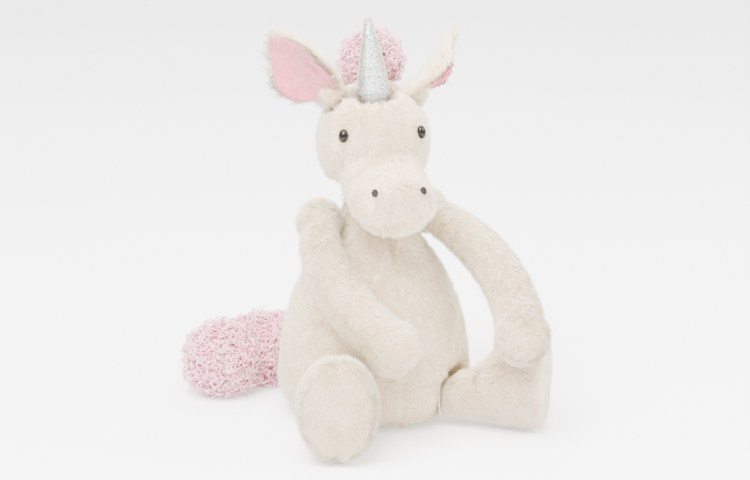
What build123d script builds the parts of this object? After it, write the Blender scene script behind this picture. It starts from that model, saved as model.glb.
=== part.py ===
"""Plush unicorn, sitting, as an assembly of sewn covers, stuffing and hardware.

Millimetres. +Z is up, the toy faces -Y and its own left side is +X. The origin is the centre of the
flat seat, on the surface that the toy sits on.

Every soft piece is worked out from a form: a function of inset, the depth inside the finished
surface. A cover is the space between the forms at 0 and at COVER, and the stuffing fills the form
inside it. Each limb starts with a ball, which turns in a round dish in its neighbour.
"""

from build123d import *
import math
import os

os.makedirs("parts", exist_ok=True)

# Layers and gaps
COVER = 3.0  # faux fur backing with its short dense pile
LAYER_GAP = 0.3  # between a cover and the stuffing inside it
JOINT_GAP = 1.4  # between a limb's ball and its dish, where the hand stitching runs
DISH_THROAT = 0.75  # radius of a dish's flared cone at the ball's centre, as a share of the dish
THREAD = 0.35  # radius of the stitching
STUFFING = COVER + LAYER_GAP

# Torso: a pear of revolution, given as arcs through (radius, height), with a ball for a neck
TORSO_OUTLINE = [(42, 0), (61, 9), (68.5, 34), (63, 72), (48, 108), (32.5, 131.5), (21, 151)]
NECK = Vector(0, 0, 165)
NECK_RADIUS = 24.0
NECK_FLAT = 4.0  # radius of the small flat on top of the neck ball
TORSO_PANELS = {"back_panel_left": 0, "back_panel_right": 90, "belly_panel_right": 180,
                "belly_panel_left": 270}  # where each quarter starts, in degrees about Z
SEAT_RADIUS = 37.0
BEAN_SEAT = (30.0, 9.0, 15.0)  # radius, half-height, height of the centre

# Head: a spheroid skull and a long rounded muzzle, in a frame at the neck ball's centre
HEAD_TURN = -6.0
SKULL_CENTRE = (0, 3, 31)
SKULL = (41.0, 45.0)  # radius, half-height
MUZZLE_SECTIONS = [(12, 29, 26, 16), (34, 30.5, 25, 7), (52, 31, 24, 2), (66, 29.5, 22, 0),
                   (75, 25, 17.5, 0), (79.5, 15, 10, 0.5)]  # forward, half-width, half-height, z
MUZZLE_SEAM = 46.0  # distance forward of the seam round the muzzle
CHIN_HEIGHT = -9.0
GUSSET_HALF_WIDTH = 13.0
EYE_SPREAD, EYE_HEIGHT = 27.5, 41.5
EYE = (3.5, 4.7, 3.0)  # half-width, half-height, how far the dome stands out
EYE_STEM = (1.6, 10.0)  # radius, length
WASHER = (6.0, 1.2)  # radius, thickness
WASHER_DEPTH = 5.6  # from the skin to the washer's back
NOSTRIL_SPREAD, NOSTRIL_HEIGHT = 16.8, 12.5
NOSTRIL = (2.0, 2.8)
NOSTRIL_THREAD = 0.6

# Horn
HORN_BASE = (-1.5, -5, 65)
HORN_LEAN = 18.0  # degrees back from upright
HORN_LENGTH = 53.0
HORN_RADIUS, HORN_TIP = 12.0, 1.5
HORN_COVER = 1.2

# Mane: a woven strip along the top and back of the head, with curls on it
MANE_STRIP = (11.0, 2.0)  # half-width, thickness
FORELOCK = (22.0, 13.0, 22.0)  # half-width, half-depth, half-height
FORELOCK_CENTRE = (3, 25, 83)
MANE_BACK = (15.0, 12.0)  # half-width, how far it stands off the strip

# Ears: two cupped leaves of fabric on a ball, with the way to the tip and the way the cup opens
EAR_ROOT_RADIUS = 8.0
EAR_CUP = 20.0  # outer radius of the cupped ear
EAR_CUP_WALL = 5.0
EAR_HALF_WIDTH = 17.0
EARS = {
    "right": {"root": (-29, 3, 63), "tip": (-44, 4, 46), "opens": (-0.45, -0.85, -0.35)},
    "left": {"root": (29, 3, 63), "tip": (33, 8, 42), "opens": (0.93, 0.12, -0.35)},
}

# Arms: a shoulder ball, a bend and a paw
SHOULDER_RADIUS = 16.0
ARM_RADII = [(0.10, 13.5), (0.32, 16.5), (0.60, 17.5), (0.90, 18.0)]
PAW_RADIUS = 19.5
BEAN_PAW = 11.0
ARMS = {
    "right": [(-43, -8, 144), (-62, -58, 112), (-17, -84, 72)],
    "left": [(37, -1, 144), (84, -50, 120), (69, -108, 78)],
}

# Legs: a hip ball at the torso's wall and an upright foot
HIP_RADIUS = 18.0
LEG_SECTIONS = [(3, 13, 13, 22), (18, 17, 17.5, 20), (30, 22, 26.5, 27.5), (40, 27.5, 36, 36.8),
                (50, 29, 38.3, 38.8), (60, 27.5, 36.8, 38.4), (65, 24, 33, 38.2)]
LEG_SWING_STEPS = (0, 28, 56)  # degrees; the torso is cleared for the leg at each
BEAN_FOOT = (13.0, 44.0, 34.0)  # radius, distance out, height
LEGS = {
    "right": {"hip": (-40, -55, 22), "heading": 246.0},
    "left": {"hip": (45, -49, 22), "heading": 328.0},
}

# Tail: a ball on the torso's back and a full bush lying on the ground
TAIL_ROOT_RADIUS = 11.0
TAIL_PATH = [(0, 67, 30), (-30, 106, 25), (-93, 70, 26.4)]
TAIL_RADII = [(0.08, 8.5), (0.30, 16.0), (0.55, 22.0), (0.80, 25.0)]
TAIL_END = 26.0

HEAD = Plane(origin=NECK, x_dir=Vector(1, 0, 0).rotate(Axis.Z, HEAD_TURN), z_dir=(0, 0, 1))


def write(name, piece):
    """Label a finished piece and write its STEP file."""
    piece.label = name
    export_step(piece, f"parts/{name}.step")
    print(f"{name:26s} {piece.volume / 1000:9.2f} cm3")


def on_head(point):
    """A point of the head's own frame, as a place on the toy."""
    return HEAD.from_local_coords(Vector(*point))


def head_way(direction):
    """A direction of the head's own frame, as a unit direction of the toy."""
    return (on_head(direction) - NECK).normalized()


def along(path, u):
    """Point and heading at u, from 0 to 1, on a path bent round its middle point."""
    start, bend, end = (Vector(*point) for point in path)
    point = start * (1 - u) ** 2 + bend * (2 * u * (1 - u)) + end * u**2
    heading = (bend - start) * (1 - u) + (end - bend) * u
    return point, heading.normalized()


def seam_plane(path):
    """The plane that a bent path lies in, where a limb's two panels are sewn together."""
    start, bend, end = (Vector(*point) for point in path)
    return Plane(origin=start, x_dir=bend - start, z_dir=(bend - start).cross(end - start))


def ball(centre, radius):
    with BuildPart(Plane(origin=centre)) as form:
        Sphere(radius)
    return form.part


def bent_tube(path, radii, inset):
    """Round limb lofted through circles square to a bent path."""
    normal = seam_plane(path).z_dir
    with BuildPart() as form:
        for u, radius in radii:
            point, heading = along(path, u)
            with BuildSketch(Plane(origin=point, x_dir=normal, z_dir=heading)):
                Circle(radius - inset)
        loft()
    return form.part


def dish(centre, radius, ways, inset, flare=0.25, reach=45.0):
    """Room for a ball and for the limb that leaves it: a ball and a flared cone along each way."""
    inner = radius + JOINT_GAP + inset
    with BuildPart(Plane(origin=centre, z_dir=ways[0])) as room:
        Sphere(inner)
        for way in ways:
            with BuildSketch(Plane(origin=centre, z_dir=way)):
                Circle(inner * DISH_THROAT)
            with BuildSketch(Plane(origin=Vector(*centre) + Vector(*way) * reach, z_dir=way)):
                Circle(inner + flare * reach)
            loft()
    return room.part


def stitching(name, centre, ball_radius, way, height):
    """Ring of thread round a ball, height along the way that the limb leaves it."""
    middle = ball_radius + JOINT_GAP / 2
    ring = math.sqrt(middle**2 - height**2)
    with BuildPart(Plane(origin=Vector(*centre) + Vector(*way) * height, z_dir=way)) as thread:
        Torus(ring, THREAD)
    write(name, thread.part)


def leg_frame(side):
    """Frame at the hip: x across the foot, y up and z along the leg."""
    heading = Vector(1, 0, 0).rotate(Axis.Z, LEGS[side]["heading"])
    return Plane(origin=LEGS[side]["hip"], x_dir=Vector(0, 0, 1).cross(heading), z_dir=heading)


def beyond(plane):
    """A large block on the side that a plane faces."""
    with BuildPart() as block:
        with BuildSketch(plane):
            Rectangle(700, 700)
        extrude(amount=400)
    return block.part


def shell_part(outside, inside, *limits):
    """The cover between two forms, cut down to the side that each limiting plane faces."""
    with BuildPart() as cover:
        add(outside)
        add(inside, mode=Mode.SUBTRACT)
        for plane in limits:
            add(beyond(plane), mode=Mode.INTERSECT)
    return cover.part


def carved(solid, *rooms):
    """A solid with room made in it for the pieces that it holds."""
    with BuildPart() as piece:
        add(solid)
        add(rooms, mode=Mode.SUBTRACT)
    return piece.part


horn_way = head_way(tuple(Vector(0, 0, 1).rotate(Axis.X, -HORN_LEAN)))


def swing_ways(way, axis, angles):
    return [Vector(*way).rotate(Axis((0, 0, 0), axis), angle) for angle in angles]


# Torso ---------------------------------------------------------------------------------------


def torso_dishes(inset):
    """Room in the torso for both shoulders, both hips and the tail."""
    rooms = []
    for side in ("left", "right"):
        heading = along(ARMS[side], 0)[1]
        rooms.append(dish(ARMS[side][0], SHOULDER_RADIUS, [heading], inset, flare=0.12))
        frame = leg_frame(side)
        ways = swing_ways(frame.z_dir, frame.x_dir, LEG_SWING_STEPS)
        rooms.append(dish(LEGS[side]["hip"], HIP_RADIUS, ways, inset))
    rooms.append(dish(TAIL_PATH[0], TAIL_ROOT_RADIUS, [along(TAIL_PATH, 0)[1]], inset, flare=0.45))
    return rooms


def torso_section(inset):
    """Half of the torso's upright section: the pear's wall, then an arc round the neck ball."""
    side = [(radius - inset, max(height, inset)) for radius, height in TORSO_OUTLINE]
    waist = TORSO_OUTLINE[-1][0] - inset
    round_radius = NECK_RADIUS - inset
    waist_height = NECK.Z - math.sqrt(round_radius**2 - waist**2)
    top_height = NECK.Z + math.sqrt(round_radius**2 - NECK_FLAT**2)
    with BuildSketch() as section:
        with BuildLine():
            ThreePointArc(*side[0:3])
            ThreePointArc(*side[2:5])
            ThreePointArc(*side[4:6], (waist, waist_height))
            ThreePointArc((waist, waist_height), (round_radius, NECK.Z), (NECK_FLAT, top_height))
            Polyline((NECK_FLAT, top_height), (0, top_height), (0, inset), side[0])
        make_face()
    return section.sketch


def torso_form(inset):
    with BuildPart() as form:
        with BuildSketch(Plane.XZ):
            add(torso_section(inset))
        revolve(axis=Axis.Z)
        add(torso_dishes(inset), mode=Mode.SUBTRACT)
    return form.part


def flat_bag(grow):
    """The seat's flat round bag with well rounded edges."""
    radius, half_height, height = BEAN_SEAT
    with BuildPart() as bag:
        with Locations((0, 0, height)):
            Cylinder(radius + grow, 2 * (half_height + grow))
        fillet(bag.edges().filter_by(GeomType.CIRCLE), half_height - 1)
    return bag.part


outside_dishes = torso_dishes(0)

with BuildPart() as seat_panel:
    Cylinder(SEAT_RADIUS, COVER, align=(Align.CENTER, Align.CENTER, Align.MIN))
    add(outside_dishes, mode=Mode.SUBTRACT)
write("seat_panel", seat_panel.part)

for name, start in TORSO_PANELS.items():
    with BuildPart() as torso_panel:
        across = Vector(1, 0, 0).rotate(Axis.Z, start)
        with BuildSketch(Plane(origin=(0, 0, 0), x_dir=across, z_dir=across.cross(Vector(0, 0, 1)))):
            add(torso_section(0))
            add(torso_section(COVER), mode=Mode.SUBTRACT)
            Rectangle(SEAT_RADIUS, COVER, align=Align.MIN, mode=Mode.SUBTRACT)
        revolve(axis=Axis.Z, revolution_arc=90)
        add(outside_dishes, mode=Mode.SUBTRACT)
    write(name, torso_panel.part)

write("seat_bean_pouch", flat_bag(0))
write("torso_stuffing", carved(torso_form(STUFFING), flat_bag(LAYER_GAP)))


# Head ----------------------------------------------------------------------------------------


def head_plane(x, y, z, way=(0, -1, 0)):
    """A sketch plane in the head's frame; it faces the given way, with its x across the head."""
    across = head_way((1, 0, 0)) if way[0] == 0 else head_way((0, 0, 1)).cross(head_way(way))
    return Plane(origin=on_head((x, y, z)), x_dir=across, z_dir=head_way(way))


def skull_form(inset):
    radius, half_height = (value - inset for value in SKULL)
    with BuildPart() as form:
        with BuildSketch(head_plane(*SKULL_CENTRE)):
            Ellipse(radius, half_height)
            Rectangle(2 * radius, 3 * half_height, align=(Align.MAX, Align.CENTER), mode=Mode.SUBTRACT)
        revolve(axis=Axis(on_head(SKULL_CENTRE), (0, 0, 1)))
    return form.part


def muzzle_form(inset):
    with BuildPart() as form:
        for forward, half_width, half_height, z in MUZZLE_SECTIONS:
            end = inset if forward == MUZZLE_SECTIONS[-1][0] else 0
            with BuildSketch(head_plane(0, end - forward, z)):
                Ellipse(half_width - inset, half_height - inset)
        loft()
    return form.part


def head_dishes(inset):
    """Room in the head for the neck ball, the horn and both ears."""
    rooms = [dish(NECK, NECK_RADIUS, [(0, 0, -1)], inset, flare=0.3, reach=30)]
    rooms.append(dish(on_head(HORN_BASE), HORN_RADIUS, [horn_way], inset, flare=0.2, reach=25))
    for ear in EARS.values():
        rooms.append(ball(on_head(ear["root"]), EAR_ROOT_RADIUS + JOINT_GAP + inset))
        spare = JOINT_GAP + inset
        rooms.append(ear_trough(ear, EAR_CUP - EAR_CUP_WALL - spare, EAR_CUP + spare,
                                EAR_HALF_WIDTH + spare))
    return rooms


def ear_frame(ear):
    """Frame at an ear's root: x the way that the cup opens, z towards the tip."""
    way, opens = head_way(ear["tip"]), head_way(ear["opens"])
    return Plane(origin=on_head(ear["root"]), x_dir=opens - way * opens.dot(way), z_dir=way)


def ear_trough(ear, inner, outer, half_width):
    """Straight trough from an ear's root to its tip, between two radii of the cup."""
    with BuildPart() as trough:
        with BuildSketch(ear_frame(ear)):
            with Locations((EAR_CUP - EAR_CUP_WALL / 2, 0)):
                Circle(outer)
                Circle(inner, mode=Mode.SUBTRACT)
            with Locations((EAR_CUP - EAR_CUP_WALL, 0)):
                Rectangle(2 * EAR_CUP, 2 * half_width, align=(Align.MAX, Align.CENTER),
                          mode=Mode.INTERSECT)
        extrude(amount=Vector(*ear["tip"]).length)
    return trough.part


def head_form(inset):
    rooms = head_dishes(inset)
    skull, muzzle = skull_form(inset), muzzle_form(inset)
    with BuildPart() as form:
        add(skull)
        add(muzzle)
        add(rooms, mode=Mode.SUBTRACT)
    return form.part


def lining(half_width, start, end):
    """Block down the middle of the head, between two heights in its frame, as wide as a panel."""
    with BuildPart() as block:
        with BuildSketch(Plane(origin=on_head((0, 0, start)), x_dir=head_way((1, 0, 0)))):
            Rectangle(2 * half_width, 300)
        extrude(amount=end - start)
    return block.part


def on_skin(x, z):
    """Where a point of the face, across and up in the head's frame, lies on the skull."""
    radius, half_height = SKULL
    ring = radius * math.sqrt(1 - ((z - SKULL_CENTRE[2]) / half_height) ** 2)
    y = SKULL_CENTRE[1] - math.sqrt(ring**2 - x**2)
    outward = Vector(x / radius**2, (y - SKULL_CENTRE[1]) / radius**2,
                     (z - SKULL_CENTRE[2]) / half_height**2)
    return (x, y, z), outward.normalized()


def eye_plane(side, depth=0.0):
    """Plane square to the skull at an eye, depth mm inside the skin."""
    point, outward = on_skin(EYE_SPREAD * (1 if side == "left" else -1), EYE_HEIGHT)
    way = head_way(tuple(outward))
    across = Vector(0, 0, 1).cross(way)
    return Plane(origin=on_head(point) - way * depth, x_dir=across, z_dir=way)


def eye_rod(side, radius):
    """Straight rod along an eye's stem, from just under the dome to the stem's end."""
    with BuildPart() as rod:
        with BuildSketch(eye_plane(side, EYE_STEM[1])):
            Circle(radius)
        extrude(amount=EYE_STEM[1])
    return rod.part


def washer_disc(side, grow):
    with BuildPart() as disc:
        with BuildSketch(eye_plane(side, WASHER_DEPTH + grow)):
            Circle(WASHER[0] + grow)
        extrude(amount=WASHER[1] + 2 * grow)
    return disc.part


head_outside, head_inside, head_core = (head_form(i) for i in (0, COVER, STUFFING))
stem_rooms = [eye_rod(side, EYE_STEM[0] + LAYER_GAP) for side in ("left", "right")]
washer_rooms = [washer_disc(side, LAYER_GAP) for side in ("left", "right")]

muzzle_seam = head_plane(0, -MUZZLE_SEAM, 0)
skull_side = -muzzle_seam
chin_seam = Plane(origin=on_head((0, 0, CHIN_HEIGHT)))
write("muzzle_cover", shell_part(head_outside, head_inside, muzzle_seam, chin_seam))
write("chin_panel", shell_part(head_outside, head_inside, muzzle_seam, -chin_seam))

skull_cover = carved(shell_part(head_outside, head_inside, skull_side), *stem_rooms)
with BuildPart() as face_gusset:
    add(skull_cover)
    add(lining(GUSSET_HALF_WIDTH, -60, 100), mode=Mode.INTERSECT)
write("face_gusset", face_gusset.part)

for side, facing in (("left", 1), ("right", -1)):
    edge = head_plane(facing * GUSSET_HALF_WIDTH, 0, 0, (facing, 0, 0))
    with BuildPart() as head_side:
        add(skull_cover)
        add(beyond(edge), mode=Mode.INTERSECT)
    write(f"head_side_{side}", head_side.part)

    with BuildPart() as eye:
        add(eye_rod(side, EYE_STEM[0]))
        for height, share in ((0.0, 1.0), (0.4, 0.93), (0.75, 0.68), (1.0, 0.22)):
            with BuildSketch(eye_plane(side, -height * EYE[2])):
                Ellipse(EYE[0] * share, EYE[1] * share)
        loft()
    write(f"eye_{side}", eye.part)

    write(f"eye_washer_{side}", carved(washer_disc(side, 0), eye_rod(side, EYE_STEM[0])))

    with BuildPart() as nostril:
        with BuildSketch(head_plane(facing * NOSTRIL_SPREAD, -60, NOSTRIL_HEIGHT)):
            Ellipse(*NOSTRIL)
        extrude(amount=40)
        add(muzzle_form(-NOSTRIL_THREAD), mode=Mode.INTERSECT)
        add(muzzle_form(0), mode=Mode.SUBTRACT)
    write(f"nostril_{side}", nostril.part)

write("head_stuffing", carved(head_core, *stem_rooms, *washer_rooms))
stitching("neck_stitching", NECK, NECK_RADIUS, (0, 0, -1), 9.0)


# Mane ----------------------------------------------------------------------------------------

def horn_form(inset):
    """Cone on a ball, with a blunt tip."""
    plane = Plane(origin=on_head(HORN_BASE), z_dir=horn_way)
    with BuildPart(plane) as form:
        with BuildSketch(plane):
            Circle(HORN_RADIUS - inset)
        with BuildSketch(plane.offset(HORN_LENGTH - inset)):
            Circle(max(HORN_TIP - inset, 0.4))
        loft()
        Sphere(HORN_RADIUS - inset)
    return form.part


horn_room = horn_form(-2.5)
ear_rooms = [ear_trough(ear, EAR_CUP - EAR_CUP_WALL - 2, EAR_CUP + 2, EAR_HALF_WIDTH + 2)
             for ear in EARS.values()]
ear_rooms += [ball(on_head(ear["root"]), EAR_ROOT_RADIUS + 2) for ear in EARS.values()]
strip_half_width, strip_thickness = MANE_STRIP


def mane_band(stand_off, thickness, half_width, behind):
    """Band over the head's middle line, behind a distance and above the nape."""
    with BuildPart() as band:
        add(skull_form(-stand_off - thickness))
        add(skull_form(-stand_off), mode=Mode.SUBTRACT)
        add(lining(half_width, 4, 120), mode=Mode.INTERSECT)
        add(beyond(head_plane(0, behind, 0, (0, 1, 0))), mode=Mode.INTERSECT)
        add([horn_room, *ear_rooms], mode=Mode.SUBTRACT)
    return band.part


write("mane_strip", mane_band(LAYER_GAP, strip_thickness, strip_half_width, 13))
curls_off = strip_thickness + 2 * LAYER_GAP
write("mane_curls_back", mane_band(curls_off, MANE_BACK[1], MANE_BACK[0], 40))

tuft_half_width, tuft_half_depth, tuft_half_height = FORELOCK
with BuildPart() as mane_curls_front:
    tuft_x, tuft_y, tuft_z = FORELOCK_CENTRE
    with BuildSketch(head_plane(tuft_x, tuft_y + tuft_half_depth, tuft_z)):
        Ellipse(tuft_half_width, tuft_half_height)
    extrude(amount=2 * tuft_half_depth)
    fillet(mane_curls_front.edges(), tuft_half_depth - 4)
    add(skull_form(-curls_off), mode=Mode.SUBTRACT)
    add(beyond(head_plane(0, 39.5, 0, (0, 1, 0))), mode=Mode.SUBTRACT)
    add([horn_room, *ear_rooms], mode=Mode.SUBTRACT)
write("mane_curls_front", mane_curls_front.part)


# Horn and ears -------------------------------------------------------------------------------

write("horn_cover", shell_part(horn_form(0), horn_form(HORN_COVER)))
write("horn_stuffing", horn_form(HORN_COVER + LAYER_GAP))


def ear_outline(ear, margin):
    """Pointed leaf, seen the way that the ear opens, thick enough to cut the trough with."""
    frame = ear_frame(ear)
    plane = Plane(origin=frame.origin, x_dir=frame.z_dir, z_dir=frame.x_dir)
    length = Vector(*ear["tip"]).length
    half = EAR_HALF_WIDTH - margin
    with BuildPart() as leaf:
        with BuildSketch(plane):
            with BuildLine():
                for edge in (1, -1):
                    Spline((0, edge * (EAR_ROOT_RADIUS - margin)), (length * 0.38, edge * half),
                           (length - margin, 0))
                Line((0, EAR_ROOT_RADIUS - margin), (0, margin - EAR_ROOT_RADIUS))
            make_face()
        extrude(amount=40, both=True)
    return leaf.part


for side, ear in EARS.items():
    lining_outer = EAR_CUP - EAR_CUP_WALL / 2
    ear_root = on_head(ear["root"])
    with BuildPart() as ear_outer:
        add(ear_trough(ear, lining_outer, EAR_CUP, EAR_HALF_WIDTH))
        add(ear_outline(ear, 0), mode=Mode.INTERSECT)
        add(ball(ear_root, EAR_ROOT_RADIUS))
    write(f"ear_outer_{side}", ear_outer.part)

    with BuildPart() as ear_lining:
        add(ear_trough(ear, EAR_CUP - EAR_CUP_WALL, lining_outer - LAYER_GAP, EAR_HALF_WIDTH))
        add(ear_outline(ear, 1.5), mode=Mode.INTERSECT)
        add(ball(ear_root, EAR_ROOT_RADIUS + LAYER_GAP), mode=Mode.SUBTRACT)
    write(f"ear_lining_{side}", ear_lining.part)


# Arms ----------------------------------------------------------------------------------------


def arm_form(side, inset):
    path = ARMS[side]
    with BuildPart() as form:
        add(bent_tube(path, ARM_RADII, inset))
        with Locations(Vector(*path[0])):
            Sphere(SHOULDER_RADIUS - inset)
        with Locations(Vector(*path[-1])):
            Sphere(PAW_RADIUS - inset)
    return form.part


for side in ("left", "right"):
    path = ARMS[side]
    seam = seam_plane(path)
    outside, inside, core = (arm_form(side, i) for i in (0, COVER, STUFFING))
    outer_way = seam if seam.z_dir.X * path[0][0] > 0 else -seam
    write(f"arm_outer_panel_{side}", shell_part(outside, inside, outer_way))
    write(f"arm_inner_panel_{side}", shell_part(outside, inside, -outer_way))
    write(f"paw_bean_pouch_{side}", ball(path[-1], BEAN_PAW))
    write(f"arm_stuffing_{side}", carved(core, ball(path[-1], BEAN_PAW + LAYER_GAP)))
    stitching(f"shoulder_stitching_{side}", path[0], SHOULDER_RADIUS, -along(path, 0)[1], 8.0)


# Legs ----------------------------------------------------------------------------------------


def leg_form(side, inset):
    frame = leg_frame(side)
    hip_height = LEGS[side]["hip"][2]
    last = LEG_SECTIONS[-1][0]
    with BuildPart() as form:
        for distance, half_width, half_height, height in LEG_SECTIONS:
            forward = distance - (inset if distance == last else 0)
            place = frame.from_local_coords(Vector(0, height - hip_height, forward))
            with BuildSketch(Plane(origin=place, x_dir=frame.x_dir, z_dir=frame.z_dir)):
                Ellipse(half_width - inset, half_height - inset)
        loft()
        with Locations(frame):
            Sphere(HIP_RADIUS - inset)
    return form.part


for side in ("left", "right"):
    frame = leg_frame(side)
    hip = LEGS[side]["hip"]
    outside, inside, core = (leg_form(side, i) for i in (0, COVER, STUFFING))
    sole_end = Plane(origin=frame.from_local_coords(Vector(0, 0, LEG_SECTIONS[-1][0] - COVER)),
                     x_dir=frame.x_dir, z_dir=frame.z_dir)
    across = Plane(origin=hip, z_dir=frame.x_dir)
    outer_way = across if frame.x_dir.X * hip[0] > 0 else -across
    write(f"sole_{side}", shell_part(outside, inside, sole_end))
    write(f"leg_outer_panel_{side}", shell_part(outside, inside, -sole_end, outer_way))
    write(f"leg_inner_panel_{side}", shell_part(outside, inside, -sole_end, -outer_way))
    bag_radius, bag_out, bag_height = BEAN_FOOT
    bag_centre = frame.from_local_coords(Vector(0, bag_height - hip[2], bag_out))
    write(f"foot_bean_pouch_{side}", ball(bag_centre, bag_radius))
    write(f"leg_stuffing_{side}", carved(core, ball(bag_centre, bag_radius + LAYER_GAP)))
    stitching(f"hip_stitching_{side}", hip, HIP_RADIUS, -frame.z_dir, 10.0)


# Tail ----------------------------------------------------------------------------------------


def tail_form(inset):
    with BuildPart() as form:
        add(bent_tube(TAIL_PATH, TAIL_RADII, inset))
        with Locations(Vector(*TAIL_PATH[0])):
            Sphere(TAIL_ROOT_RADIUS - inset)
        with Locations(Vector(*TAIL_PATH[-1])):
            Sphere(TAIL_END - inset)
    return form.part


write("tail_cover", shell_part(tail_form(0), tail_form(COVER)))
write("tail_stuffing", tail_form(STUFFING))
stitching("tail_stitching", TAIL_PATH[0], TAIL_ROOT_RADIUS, -along(TAIL_PATH, 0)[1], 3.0)
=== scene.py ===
# %% [markdown]
# A sitting plush unicorn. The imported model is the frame: it gives every piece's place and the bodies
# that move. Everything below makes the soft looks round it: skins swollen by a cloth simulation,
# pile of real strands, curls, seams, eyes and horn. Lengths are metres, and MM turns millimetres
# into them.

# %% Load the frame
import math

import bpy
import numpy as np
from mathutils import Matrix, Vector


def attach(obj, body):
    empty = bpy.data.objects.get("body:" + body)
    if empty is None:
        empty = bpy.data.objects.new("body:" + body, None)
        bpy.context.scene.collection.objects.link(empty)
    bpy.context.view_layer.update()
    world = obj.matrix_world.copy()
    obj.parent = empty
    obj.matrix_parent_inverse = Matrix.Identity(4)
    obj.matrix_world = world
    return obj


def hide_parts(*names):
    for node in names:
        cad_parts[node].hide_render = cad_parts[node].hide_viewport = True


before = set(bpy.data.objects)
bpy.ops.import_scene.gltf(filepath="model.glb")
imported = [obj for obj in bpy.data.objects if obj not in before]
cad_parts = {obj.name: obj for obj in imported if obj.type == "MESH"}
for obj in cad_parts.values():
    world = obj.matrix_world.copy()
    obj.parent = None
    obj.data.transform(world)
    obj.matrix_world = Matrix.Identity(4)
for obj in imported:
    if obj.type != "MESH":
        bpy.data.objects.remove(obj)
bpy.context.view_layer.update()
MM = 0.001

# %% [markdown]
# The camera stands a little below the toy's eye line and to its right, far away with a long lens, so
# that the big feet don't look bigger still. It comes first, because everything is judged through it.

# %% Camera
CAMERA_AZIMUTH, CAMERA_HEIGHT_ANGLE = math.radians(-19), math.radians(15)
CAMERA_DISTANCE = 1.9
LOOK_AT = Vector((0.0007, 0.0, 0.1246))


def towards_camera(azimuth, elevation):
    """Unit vector from the toy to a point at that azimuth and elevation: 0 is in front of its face."""
    level = math.cos(elevation)
    return Vector((math.sin(azimuth) * level, -math.cos(azimuth) * level, math.sin(elevation)))


def aimed(thing, name, place, target):
    """Put a camera or a light at a place, looking at the target."""
    made = bpy.data.objects.new(name, thing)
    bpy.context.scene.collection.objects.link(made)
    made.location = place
    made.rotation_euler = (target - place).to_track_quat("-Z", "Y").to_euler()
    return made


lens = bpy.data.cameras.new("camera")
lens.lens = 130
view_back = towards_camera(CAMERA_AZIMUTH, CAMERA_HEIGHT_ANGLE)
bpy.context.scene.camera = aimed(lens, "camera", LOOK_AT + view_back * CAMERA_DISTANCE, LOOK_AT)
print("camera at", tuple(round(c, 3) for c in bpy.context.scene.camera.location))

# %% [markdown]
# Colours are chosen as sRGB hex, the way that a screen shows them, and turned to the linear numbers
# that shaders work in.

# %% Colour and node helpers


def linear(hex_colour):
    """sRGB hex to linear RGBA: c / 12.92 below 0.04045, else ((c + 0.055) / 1.055) ** 2.4."""
    srgb = np.array([int(hex_colour[i:i + 2], 16) / 255 for i in (1, 3, 5)])
    lin = np.where(srgb <= 0.04045, srgb / 12.92, ((srgb + 0.055) / 1.055) ** 2.4)
    return (*lin.tolist(), 1.0)


def node(tree, kind, settings=None, links=None, **inputs):
    """Add a node with its settings; inputs are values by socket, links are output sockets by input."""
    made = tree.nodes.new(kind)
    for key, value in (settings or {}).items():
        setattr(made, key, value)
    for key, value in inputs.items():
        made.inputs[key.replace("_", " ")].default_value = value
    for key, socket in (links or {}).items():
        tree.links.new(socket, made.inputs[key])
    return made


def material(name, **principled):
    """A new material and its Principled shader, with that shader's own values set."""
    made = bpy.data.materials.new(name)
    made.use_nodes = True
    shader = made.node_tree.nodes["Principled BSDF"]
    for key, value in principled.items():
        shader.inputs[key.replace("_", " ")].default_value = value
    return made, made.node_tree, shader


def ramp(tree, factor, stops):
    """Colour ramp over a factor, with (place, hex colour) stops."""
    made = node(tree, "ShaderNodeValToRGB", links={"Fac": factor})
    elements = made.color_ramp.elements
    while len(elements) < len(stops):
        elements.new(0.5)
    for element, (place, colour) in zip(elements, stops):
        element.position, element.color = place, linear(colour)
    return made.outputs["Color"]


def spots(tree, size_mm, detail=2.0):
    """Noise on Object coordinates with blobs of a real size."""
    place = node(tree, "ShaderNodeTexCoord")
    return node(tree, "ShaderNodeTexNoise", links={"Vector": place.outputs["Object"]},
                Scale=1 / (size_mm * MM), Detail=detail)


def mixed(tree, factor, first, second, blend="MIX"):
    """Mix two colours by a factor."""
    made = node(tree, "ShaderNodeMix", {"data_type": "RGBA", "blend_type": blend})
    for socket, value in ((made.inputs[0], factor), (made.inputs[6], first), (made.inputs[7], second)):
        if isinstance(value, bpy.types.NodeSocket):
            tree.links.new(value, socket)
        else:
            socket.default_value = value
    return made.outputs[2]


def bumped(tree, shader, height, depth_mm, strength=1.0):
    """Feed a height into the shader's normal."""
    bump = node(tree, "ShaderNodeBump", links={"Height": height}, Strength=strength,
                Distance=depth_mm * MM)
    tree.links.new(bump.outputs["Normal"], shader.inputs["Normal"])


# %% [markdown]
# Plush pile is millions of polyester fibres. Each strand here stands for a small lock of them, and its
# colour holds painted light and shade: paler at its tip, painted light where light gets through, and
# warmer and darker at its root, painted shade where neighbours shade it. The strand's own UV map holds
# the way from root to tip, so the painted shade follows each strand.

# %% Pile materials
PILE_UV = "OFBake"  # the map that the export bakes colours to, laid out here one cell a strand


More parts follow.
